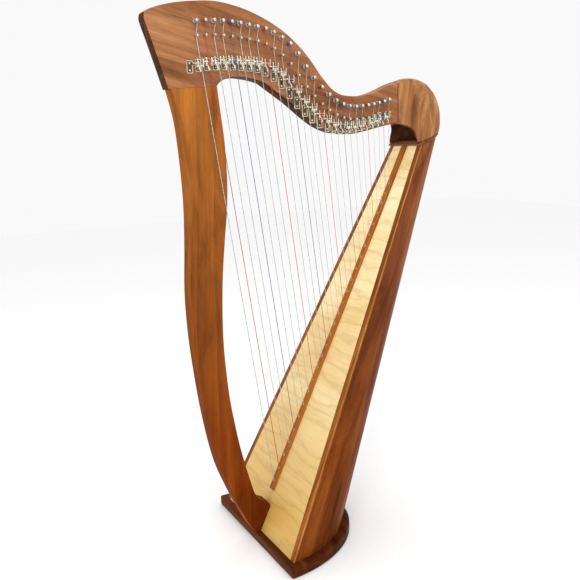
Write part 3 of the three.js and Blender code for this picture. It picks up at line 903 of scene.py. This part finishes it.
def repeated(pattern, places, turn=Matrix.Identity(4)):
    """One pattern set in many places, as a single mesh to work on."""
    mesh = mesh_of(pattern, "pattern")
    work = bmesh.new()
    for place in places:
        copy = mesh.copy()
        copy.transform(Matrix.Translation(place * MM) @ turn)
        work.from_mesh(copy)
        bpy.data.meshes.remove(copy)
    bpy.data.meshes.remove(mesh)
    return work


def make_tuning_pins():
    """Domed at the string's side, square and tapered where the key goes on at the other."""
    pin = lathe([
        (0, -34), (1.5, -33.7), (2.7, -32.9), (3.5, -31.6), (3.8, -30.2), (3.6, -28.8), (3.0, -27.7),
        (TUNING_PIN_RADIUS, -27.2), (TUNING_PIN_RADIUS, 20), (2.4, 22), (0, 22)], 20)
    key_end = bmesh.new()
    backwards = Matrix.Translation(spot(0, 28, 0)) @ Matrix.Rotation(math.radians(-90), 4, "X")
    bmesh.ops.create_cone(key_end, cap_ends=True, segments=4, radius1=3.1 * MM, radius2=2.6 * MM,
                          depth=16 * MM, matrix=backwards)
    ease(key_end, key_end.edges[:], 0.35, 2)
    places = [Vector((string["pin_x"], 0, string["tuning_z"])) for string in strings]
    show(repeated(joined(pin, key_end), places), "tuning_pins", pin_steel,
         replaces=["string_set"], sharp=40)


def make_bridge_pins():
    """A brass shank with a groove for the string and a round head that keeps it there."""
    pin = lathe([
        (0, -12), (PIN_RADIUS, -12), (PIN_RADIUS, -26.4), (1.4, -27.2), (1.4, -28.7), (2.3, -29.1),
        (2.9, -29.9), (3.1, -30.8), (2.8, -31.9), (2.0, -32.8), (0, -33.3)], 18)
    places = [Vector((string["pin_x"], 0, string["height"])) for string in strings]
    show(repeated(pin, places), "bridge_pins", pin_brass, sharp=40)


def make_eyelets():
    """A small brass eyelet in the rib where each string goes through."""
    ring = lathe([(1.5, 0.1), (2.3, 0.1), (2.9, -0.1), (3.1, -0.5), (2.8, -0.9), (2.1, -1.0), (1.5, -0.8),
                  (1.3, 0.1)], 16)
    turn = Matrix.Rotation(-math.radians(BOARD_SLOPE), 4, "Y") @ Matrix.Rotation(math.radians(-90), 4, "X")
    places = [on_string(string, 1) for string in strings]
    show(repeated(ring, places, turn), "rib_eyelets", eyelet_brass, sharp=50)


def make_knots():
    """The hardwood strip inside the box and the knot that each string ends in."""
    strip, half = KNOT_STRIP, KNOT_STRIP["half_width"]
    work = block((strip["start"], -half, -BOARD_THICKNESS - strip["back"]),
                 (strip["end"], half, -BOARD_THICKNESS - strip["front"]), BOARD)
    ease(work, work.edges[:], 1, 2)
    show(work, "knot_strip", inner_wood)
    knot = bmesh.new()
    bmesh.ops.create_icosphere(knot, subdivisions=2, radius=KNOT["radius"] * MM)
    places = [on_string(string, string["anchor"]) - BOARD_OUT * KNOT["below"] for string in strings]
    show(repeated(knot, places), "string_knots", clear_nylon, sharp=60)


for string in strings:
    make_string(string, {"c": red_nylon, "f": blue_nylon}.get(string["note"], clear_nylon))
make_tuning_pins()
make_bridge_pins()
make_eyelets()
make_knots()


# ================================ levers ================================
# A lever's own sizes are from its pivot, which lies PIVOT_OUT in front of the neck's middle plane.
PIVOT_OUT = 21
NECK_FACE = PIVOT_OUT - HALF_NECK
LEVER_REST = 230
HANDLE = {"hub": 3.1, "tip": 2.4, "reach": 15, "thickness": 2.2}
BARREL = {"radius": 2, "start": -5.1, "end": 3.6}
SLEEVE = {"radius": 2.6, "start": -2.4, "end": 2.8}
PLATE = {"right": -12.6, "bottom": -13.5, "top": 9.5, "thickness": 1.4}
POST = {"width": 2.2, "front": 2.8, "bottom": 1.4, "top": 6.0}
ARM = {"right": 5.35, "back": 4.0, "bottom": 3.6}
PRONGS = ((-6.9, -5.35), (3.85, 5.4))
PRONG_OUTLINE = [
    (3.0, -3.4), (-2.4, -3.4), (-3.6, -2.4), (-4.6, 3.0), (-5.2, 10.4), (-4.6, 11.8), (-3.4, 12.0),
    (-2.3, 11.0), (-1.2, 6.8), (3.4, 6.0), (3.4, 3.4), (3.0, 2.6),
]
SCREWS = {"low": -8, "high": 4.4, "sunk": 1.65}
BASS_LEVERS = 17
PLATE_WIDTH = {"bass": 12.4, "treble": 9.6}


def painted(work, index):
    for face in work.faces:
        face.material_index = index
    return work


def arc(radius, first, last, step, centre=0):
    """Points of an arc, from one angle to another in degrees."""
    angles = [math.radians(angle) for angle in range(first, last + 1, step)]
    return [(centre + radius * math.cos(angle), radius * math.sin(angle)) for angle in angles]


def lever_arm():
    """The handle: a flat tapered paddle with a round hub, its edges eased."""
    outline = arc(HANDLE["hub"], 50, 310, 20)
    outline += arc(HANDLE["tip"], -90, 90, 22, HANDLE["reach"] - HANDLE["tip"])
    cos, sin = math.cos(math.radians(LEVER_REST)), math.sin(math.radians(LEVER_REST))
    corners = [spot(BARREL["start"], u * cos - v * sin, u * sin + v * cos) for u, v in outline]
    work = extruded(corners, spot(HANDLE["thickness"], 0, 0))
    ease(work, [e for e in work.edges if span(e, "x") < 0.1 * MM], 0.5, 2)
    return work


def rod(sizes, rim):
    """A round rod across the strings, its rims eased."""
    work = bmesh.new()
    middle = Matrix.Translation(spot((sizes["start"] + sizes["end"]) / 2, 0, 0))
    bmesh.ops.create_cone(work, cap_ends=True, segments=18, radius1=sizes["radius"] * MM,
                          radius2=sizes["radius"] * MM, depth=(sizes["end"] - sizes["start"]) * MM,
                          matrix=middle @ Matrix.Rotation(math.radians(90), 4, "Y"))
    ease(work, [e for e in work.edges if span(e, "x") < 0.1 * MM], rim, 2)
    return work


def lever_cam():
    """The sleeve and the cam on it, which swings up to the string and shortens it."""
    cam = block((-1.5, -1, -4), (1.5, 1, -1))
    ease(cam, cam.edges[:], 0.45, 2)
    return joined(rod(SLEEVE, 0.5), cam)


def make_levers():
    marks = {"c": red_enamel, "f": blue_enamel}
    for string in strings:
        work = joined(lever_arm(), rod(BARREL, 0.35), painted(lever_cam(), 1))
        bmesh.ops.translate(work, vec=string["pivot"] * MM, verts=work.verts)
        name = string["lever"].replace("lever", "semitone_lever")
        finish = [lever_metal, marks.get(string["note"], lever_metal)]
        show(work, name, finish, body=string["lever"], replaces=[string["lever"]],
             sharp=40, weighted=True)


def bracket(plate_width):
    """The fixed part of a lever: a screwed plate at its left, an arm over to it and two upright prongs."""
    right, inner = PLATE["right"], PLATE["right"] - POST["width"]
    plate = block((right - plate_width, NECK_FACE - PLATE["thickness"], PLATE["bottom"]),
                  (right, NECK_FACE, PLATE["top"]))
    ease(plate, [e for e in plate.edges if span(e, "y") > 0.5 * MM], 1.6, 3)
    ease(plate, [e for e in plate.edges if e.calc_face_angle(0) > 1.2], 0.3, 2)
    plate.normal_update()
    front = [f for f in plate.faces if f.normal.y < -0.95 and len(f.verts) > 4]
    bmesh.ops.inset_region(plate, faces=front, thickness=1.3 * MM, depth=-0.35 * MM, use_even_offset=True)
    post = block((inner, POST["front"], POST["bottom"]), (right, NECK_FACE - 0.8, POST["top"]))
    ease(post, post.edges[:], 0.4, 2)
    arm = block((inner, POST["front"], ARM["bottom"]), (ARM["right"], ARM["back"], POST["top"]))
    ease(arm, arm.edges[:], 0.4, 2)
    prongs = []
    for start, end in PRONGS:
        prong = extruded([spot(start, y, z) for y, z in PRONG_OUTLINE], spot(end - start, 0, 0))
        ease(prong, [e for e in prong.edges if span(e, "x") < 0.1 * MM], 0.35, 2)
        prongs.append(prong)
    # Painted shade: faces turning up or down and the plate's sunk middle take the dark plating, the post
    # all of it; the prongs' other faces take the bright lever plating.
    for part in (plate, arm, *prongs):
        part.normal_update()
        for face in part.faces:
            face.material_index = int(abs(face.normal.y) < 0.3 and abs(face.normal.x) < 0.9)
    for face in front:
        face.material_index = 1
    for face in [f for prong in prongs for f in prong.faces if not f.material_index]:
        face.material_index = 2
    return joined(plate, painted(post, 1), arm, *prongs)


def screw_head():
    """A low domed screw head."""
    return lathe([(0, 0.9), (1.9, 0.9), (2.0, 0.4), (1.7, -0.2), (0.9, -0.6), (0, -0.7)], 14)


def make_brackets():
    """Wider plates in the bass, narrower ones where the strings are closer together."""
    finishes = [bracket_metal, bracket_shade_plating, lever_metal]
    for name, group in (("bass", strings[:BASS_LEVERS]), ("treble", strings[BASS_LEVERS:])):
        width = PLATE_WIDTH[name]
        pivots = [string["pivot"] for string in group]
        show(repeated(bracket(width), pivots), name + "_lever_brackets", finishes,
             sharp=40)
        middle = Vector((PLATE["right"] - width / 2, NECK_FACE - SCREWS["sunk"], 0))
        heights = (SCREWS["low"], SCREWS["high"])
        heads = [pivot + middle + Vector((0, 0, height)) for height in heights for pivot in pivots]
        show(repeated(screw_head(), heads), name + "_lever_screws", screw_steel, sharp=40)


make_levers()
make_brackets()


# ================================ pieces kept from the frame ================================
def keep(node, finish):
    """A piece whose shape is right as it is, given its finish."""
    piece = frame["nodes"][node]
    piece.data.materials.clear()
    piece.data.materials.append(finish)


keep("soundboard", board_wood)
blocks = ["liner_right", "liner_left", "bottom_block", "top_block", "heel_block"]
for node in blocks + [f"back_hoop_{number}" for number in range(1, 4)]:
    keep(node, inner_wood)
for node in ["pillar_bolt", "shoulder_bolt"] + [f"base_screw_{number}" for number in range(1, 5)]:
    keep(node, bolt_steel)


# ================================ studio ================================
# name: place, width, power
LIGHTS = {
    "key": ((-0.9, -1.5, 2.3), 1.1, 22),
    "fill": ((2.0, -1.6, 1.3), 2.0, 3),
    "top": ((0.2, 0.4, 2.8), 1.4, 6),
}


def make_studio():
    work = bmesh.new()
    bmesh.ops.create_grid(work, x_segments=2, y_segments=2, size=6)
    bmesh.ops.translate(work, vec=spot(0, 0, -0.5), verts=work.verts)
    floor = linked("studio_floor", mesh_of(work, "studio_floor"))
    floor.data.materials.append(paper_floor)
    world = bpy.data.worlds.new("studio")
    bpy.context.scene.world = world
    world.use_nodes = True
    backdrop = world.node_tree.nodes["Background"]
    backdrop.inputs["Color"].default_value = grey(1)
    backdrop.inputs["Strength"].default_value = 0.95
    harp_middle = Vector((0, 0, 0.6))
    for name, (place, size, power) in LIGHTS.items():
        data = bpy.data.lights.new(name, "AREA")
        data.size = size
        data.energy = power
        light = linked(name, data)
        light.location = place
        light.rotation_euler = (harp_middle - Vector(place)).to_track_quat("-Z", "Y").to_euler()
    bpy.context.scene.view_settings.view_transform = "Standard"


make_studio()
